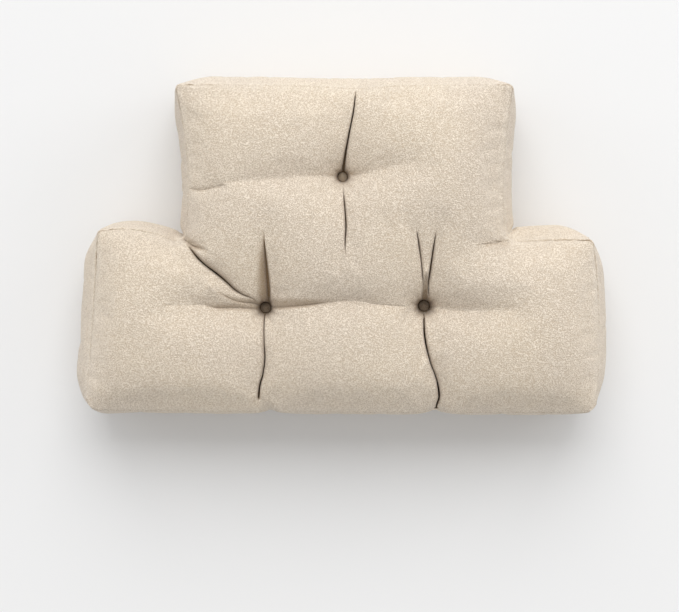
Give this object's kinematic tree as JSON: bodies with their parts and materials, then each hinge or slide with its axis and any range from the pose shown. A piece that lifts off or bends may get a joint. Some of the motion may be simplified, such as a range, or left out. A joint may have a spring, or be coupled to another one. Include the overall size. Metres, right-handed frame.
{
  "type": "lumbar pillow",
  "caption": "Inverted-T lumbar pillow with boxed sides and a button-tufted, deeply folded face, set against a chair back to support the lower back.",
  "frame": {"origin": "on the floor under the middle of the pillow's box, at the flat of its back", "axes": "+X across the wings, +Y from the foot edge towards the head, +Z out of the tufted face"},
  "size_m": [0.602, 0.3802, 0.148],
  "materials": {
    "nubby_cloth": "matte nubby beige upholstery cloth with a soft sheen",
    "button_cloth": "matte darker brown cloth stretched over a button"
  },
  "bodies": {
    "root": {"cushion": "nubby_cloth", "button_head": "button_cloth", "button_left": "button_cloth", "button_right": "button_cloth"}
  },
  "joints": []
}
